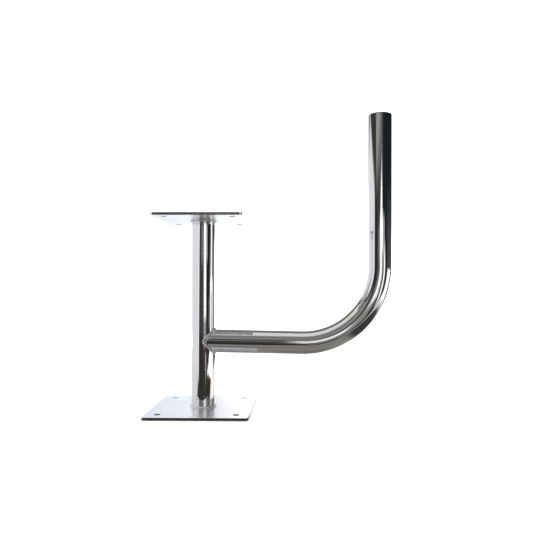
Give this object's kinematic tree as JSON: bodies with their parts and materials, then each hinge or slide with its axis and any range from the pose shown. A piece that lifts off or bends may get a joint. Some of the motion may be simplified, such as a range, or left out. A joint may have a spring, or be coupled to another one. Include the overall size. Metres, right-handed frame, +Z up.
{
  "type": "flag pole stand",
  "caption": "Welded round-tube stand: a post between a square base plate and a smaller square top plate, with a curved side arm that ends in an open upright pole socket.",
  "frame": {"origin": "centre of the base plate's underside, on the post's axis", "axes": "+Z up along the post, +X from the post towards the socket, +Y across the arm"},
  "size_m": [0.4342, 0.18, 0.538],
  "materials": {
    "plate_steel": "polished stainless steel plate, with a soft even reflection",
    "tube_steel": "mirror-polished stainless steel tube",
    "weld_steel": "rippled weld metal, cleaned and lightly polished"
  },
  "bodies": {
    "root": {"base_plate": "plate_steel", "top_plate": "plate_steel", "post_tube": "tube_steel", "flag_arm": "tube_steel", "base_weld": "weld_steel", "top_weld": "weld_steel", "arm_weld": "weld_steel"}
  },
  "joints": []
}
